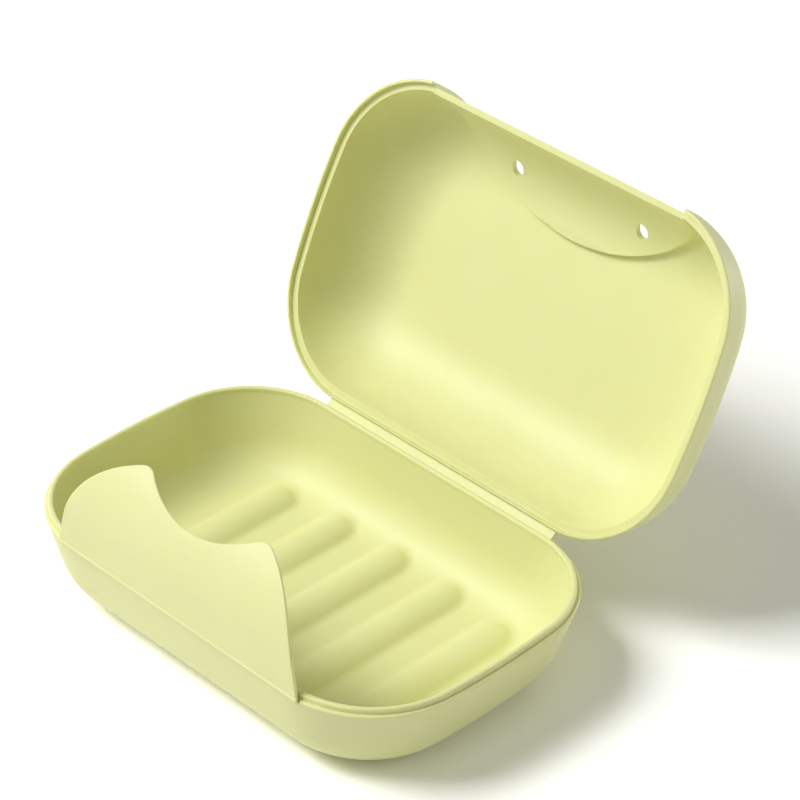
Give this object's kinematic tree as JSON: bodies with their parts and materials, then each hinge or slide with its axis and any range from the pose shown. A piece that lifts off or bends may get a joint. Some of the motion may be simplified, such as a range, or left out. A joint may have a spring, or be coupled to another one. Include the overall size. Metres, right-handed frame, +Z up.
{
  "type": "travel soap box",
  "caption": "Hinged travel soap box: rounded tray with drying ribs, folding strap, domed lid and a curved front clasp flap with a finger notch that snaps into the lid.",
  "frame": {"origin": "centre of the tray's flat underside, on the surface that the box stands on", "axes": "X along the hinge, -Y towards the clasp flap, +Y towards the hinge and the open lid, +Z up"},
  "size_m": [0.1156, 0.1218, 0.0888],
  "materials": {
    "pale_green_pp": "matt moulded polypropylene in a pale yellow green"
  },
  "bodies": {
    "base": {"base_shell": "pale_green_pp"},
    "strap": {"hinge_strap": "pale_green_pp"},
    "lid": {"lid_shell": "pale_green_pp"},
    "clasp": {"clasp_flap": "pale_green_pp"}
  },
  "joints": [
    {"name": "strap_fold", "type": "hinge", "parent": "base", "child": "strap", "pos_m": [0, 0.0379, 0.0194], "axis": [-1, 0, 0], "range_deg": [-50, 40]},
    {"name": "lid_fold", "type": "hinge", "parent": "strap", "child": "lid", "pos_m": [0, 0.03974, 0.02094], "axis": [-1, 0, 0], "range_deg": [-66, 24]},
    {"name": "clasp_fold", "type": "hinge", "parent": "base", "child": "clasp", "pos_m": [0, -0.0375, 0.0207], "axis": [1, 0, 0], "range_deg": [-17, 108]}
  ]
}
